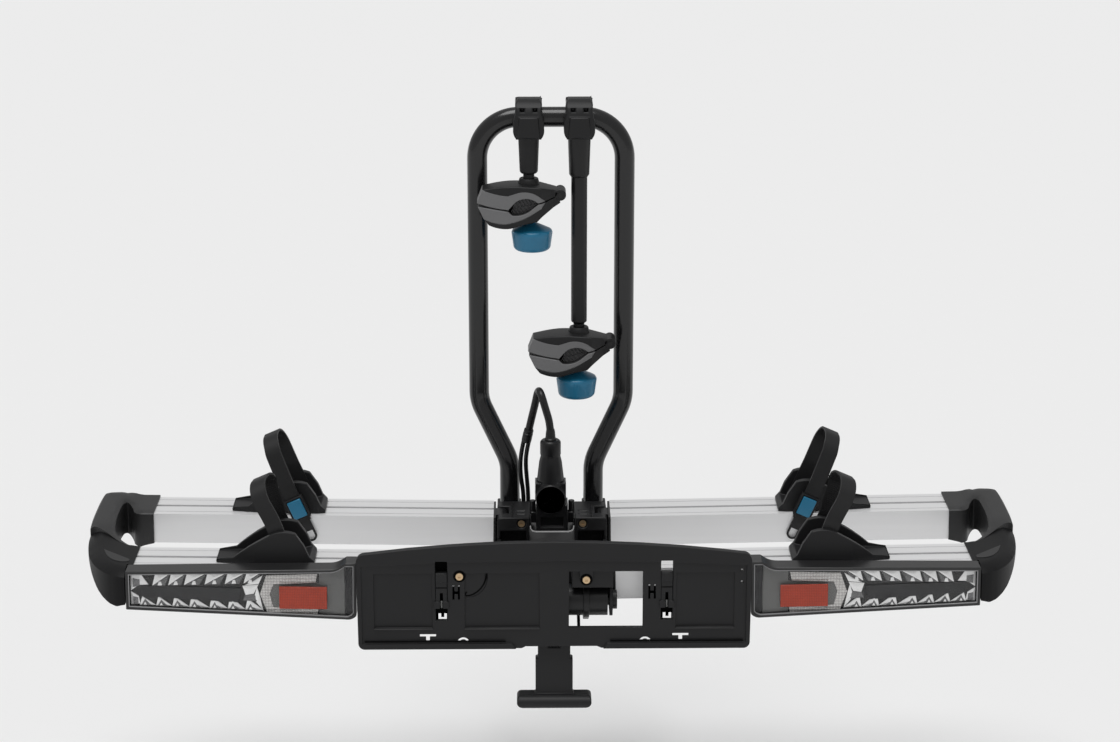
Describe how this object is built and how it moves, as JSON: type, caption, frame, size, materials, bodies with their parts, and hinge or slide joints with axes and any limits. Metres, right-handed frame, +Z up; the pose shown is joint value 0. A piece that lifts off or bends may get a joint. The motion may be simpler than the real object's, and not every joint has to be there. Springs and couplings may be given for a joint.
{
  "type": "towbar bike rack",
  "caption": "Folding towbar carrier for bicycles with wheel trays, frame arms on a hoop, lamps and a number-plate holder.",
  "frame": {"origin": "centre of the towball in the coupler's cup", "axes": "+X along the wings to the right as seen from behind the car, +Y towards the car, +Z up"},
  "size_m": [1.3136, 0.536, 0.781],
  "materials": {
    "black_steel": "satin",
    "steel": "satin",
    "black_plastic": "matte",
    "brass": "satin",
    "rubber": "matte",
    "aluminium": "satin",
    "grey_plastic": "matte",
    "lens": "gloss",
    "reflector": "gloss",
    "blue_plastic": "satin"
  },
  "bodies": {
    "towbar_base": {"chassis_beam": "black_steel", "coupler_head": "black_steel", "tilt_axle": "black_steel", "base_pins": "steel"},
    "clamp_lever": {"clamp_lever": "black_steel"},
    "clamp_jaw": {"clamp_jaw": "black_steel"},
    "platform": {"centre_frame": "black_steel", "left_hinge_block": "black_plastic", "right_hinge_block": "black_plastic", "centre_tray": "steel", "frame_hoop": "black_steel", "platform_screws": "brass", "plate_holder": "black_plastic", "fold_pins": "steel", "plug_holder": "black_plastic", "plug_body": "black_plastic", "main_cord": "rubber", "cord_splitter": "rubber", "thin_cord_left": "rubber", "thin_cord_right": "rubber"},
    "foot_pedal": {"tilt_pedal": "black_plastic", "latch_hook": "black_steel"},
    "left_plate_clip": {"left_plate_clip": "black_plastic"},
    "right_plate_clip": {"right_plate_clip": "black_plastic"},
    "left_wing": {"left_rails": "aluminium", "left_end_cap": "black_plastic", "left_lamp_housing": "grey_plastic", "left_lamp_lens": "lens", "left_lamp_reflector": "reflector"},
    "left_rear_holder": {"left_rear_tray": "black_plastic", "left_rear_strap": "rubber", "left_rear_buckle": "black_plastic"},
    "left_rear_button": {"left_rear_button": "blue_plastic"},
    "left_front_holder": {"left_front_tray": "black_plastic", "left_front_strap": "rubber", "left_front_buckle": "black_plastic"},
    "left_front_button": {"left_front_button": "blue_plastic"},
    "right_wing": {"right_rails": "aluminium", "right_end_cap": "black_plastic", "right_lamp_housing": "grey_plastic", "right_lamp_lens": "lens", "right_lamp_reflector": "reflector"},
    "right_rear_holder": {"right_rear_tray": "black_plastic", "right_rear_strap": "rubber", "right_rear_buckle": "black_plastic"},
    "right_rear_button": {"right_rear_button": "blue_plastic"},
    "right_front_holder": {"right_front_tray": "black_plastic", "right_front_strap": "rubber", "right_front_buckle": "black_plastic"},
    "right_front_button": {"right_front_button": "blue_plastic"},
    "short_arm": {"short_arm_clamp": "black_plastic", "short_arm_rod": "black_plastic"},
    "short_jaw_upper": {"short_jaw_upper": "black_plastic"},
    "short_jaw_lower": {"short_jaw_lower": "black_plastic"},
    "short_jaw_knob": {"short_jaw_knob": "blue_plastic"},
    "long_arm": {"long_arm_clamp": "black_plastic", "long_arm_tube": "black_steel"},
    "long_jaw_upper": {"long_jaw_upper": "black_plastic"},
    "long_jaw_lower": {"long_jaw_lower": "black_plastic"},
    "long_jaw_knob": {"long_jaw_knob": "blue_plastic"}
  },
  "joints": [
    {"name": "clamp_lever_turn", "type": "hinge", "parent": "towbar_base", "child": "clamp_lever", "pos_m": [0, -0.03, 0.052], "axis": [-1, 0, 0], "range_deg": [0, 75]},
    {"name": "clamp_jaw_turn", "type": "hinge", "parent": "towbar_base", "child": "clamp_jaw", "pos_m": [0, -0.046, 0.012], "axis": [-1, 0, 0], "range_deg": [0, 12]},
    {"name": "platform_tilt", "type": "hinge", "parent": "towbar_base", "child": "platform", "pos_m": [0, -0.466, 0.059], "axis": [1, 0, 0], "range_deg": [0, 55]},
    {"name": "pedal_press", "type": "hinge", "parent": "platform", "child": "foot_pedal", "pos_m": [0, -0.478, 0.014], "axis": [1, 0, 0], "range_deg": [0, 12], "stiffness_Nm_per_rad": 12},
    {"name": "left_clip_slide", "type": "slide", "parent": "platform", "child": "left_plate_clip", "axis": [0, 0, 1], "range_m": [-0.014, 0.014]},
    {"name": "right_clip_slide", "type": "slide", "parent": "platform", "child": "right_plate_clip", "axis": [0, 0, 1], "range_m": [-0.014, 0.014]},
    {"name": "left_wing_fold", "type": "hinge", "parent": "platform", "child": "left_wing", "pos_m": [-0.072, -0.298, 0.083], "axis": [0, 1, 0], "range_deg": [0, 70]},
    {"name": "left_rear_holder_slide", "type": "slide", "parent": "left_wing", "child": "left_rear_holder", "axis": [-0.9999, 0, 0.0157], "range_m": [-0.1, 0.08]},
    {"name": "left_rear_button_press", "type": "slide", "parent": "left_rear_holder", "child": "left_rear_button", "axis": [0, 1, 0], "range_m": [0, 0.0025], "stiffness_N_per_m": 400},
    {"name": "left_front_holder_slide", "type": "slide", "parent": "left_wing", "child": "left_front_holder", "axis": [-0.9999, 0, 0.0157], "range_m": [-0.1, 0.08]},
    {"name": "left_front_button_press", "type": "slide", "parent": "left_front_holder", "child": "left_front_button", "axis": [0, -1, 0], "range_m": [0, 0.0025], "stiffness_N_per_m": 400},
    {"name": "right_wing_fold", "type": "hinge", "parent": "platform", "child": "right_wing", "pos_m": [0.072, -0.298, 0.083], "axis": [0, -1, 0], "range_deg": [0, 70]},
    {"name": "right_rear_holder_slide", "type": "slide", "parent": "right_wing", "child": "right_rear_holder", "axis": [0.9999, 0, 0.0157], "range_m": [-0.1, 0.08]},
    {"name": "right_rear_button_press", "type": "slide", "parent": "right_rear_holder", "child": "right_rear_button", "axis": [0, 1, 0], "range_m": [0, 0.0025], "stiffness_N_per_m": 400},
    {"name": "right_front_holder_slide", "type": "slide", "parent": "right_wing", "child": "right_front_holder", "axis": [0.9999, 0, 0.0157], "range_m": [-0.1, 0.08]},
    {"name": "right_front_button_press", "type": "slide", "parent": "right_front_holder", "child": "right_front_button", "axis": [0, -1, 0], "range_m": [0, 0.0025], "stiffness_N_per_m": 400},
    {"name": "short_arm_swing", "type": "hinge", "parent": "platform", "child": "short_arm", "pos_m": [-0.032, -0.112, 0.659], "axis": [-1, 0, 0], "range_deg": [0, 100]},
    {"name": "short_jaw_swivel", "type": "hinge", "parent": "short_arm", "child": "short_jaw_upper", "pos_m": [-0.032, -0.146, 0.5745], "axis": [0, 0, 1], "range_deg": [0, 90]},
    {"name": "short_jaw_opening", "type": "hinge", "parent": "short_jaw_upper", "child": "short_jaw_lower", "pos_m": [0.013, -0.146, 0.5555], "axis": [0, -1, 0], "range_deg": [0, 18]},
    {"name": "short_knob_turn", "type": "hinge", "parent": "short_jaw_lower", "child": "short_jaw_knob", "pos_m": [-0.0276, -0.146, 0.5035], "axis": [0, 0, 1], "range_deg": [0, 1080]},
    {"name": "long_arm_swing", "type": "hinge", "parent": "platform", "child": "long_arm", "pos_m": [0.04, -0.112, 0.659], "axis": [-1, 0, 0], "range_deg": [0, 100]},
    {"name": "long_jaw_swivel", "type": "hinge", "parent": "long_arm", "child": "long_jaw_upper", "pos_m": [0.04, -0.146, 0.3545], "axis": [0, 0, 1], "range_deg": [0, 90]},
    {"name": "long_jaw_opening", "type": "hinge", "parent": "long_jaw_upper", "child": "long_jaw_lower", "pos_m": [0.085, -0.146, 0.3355], "axis": [0, -1, 0], "range_deg": [0, 18]},
    {"name": "long_knob_turn", "type": "hinge", "parent": "long_jaw_lower", "child": "long_jaw_knob", "pos_m": [0.0367, -0.146, 0.2835], "axis": [0, 0, 1], "range_deg": [0, 1080]}
  ],
  "couplings": [
    {"joint": "clamp_jaw_turn", "follows": "clamp_lever_turn", "ratio": 0.16},
    {"joint": "short_jaw_opening", "follows": "short_knob_turn", "ratio": 0.016666},
    {"joint": "long_jaw_opening", "follows": "long_knob_turn", "ratio": 0.016666}
  ]
}
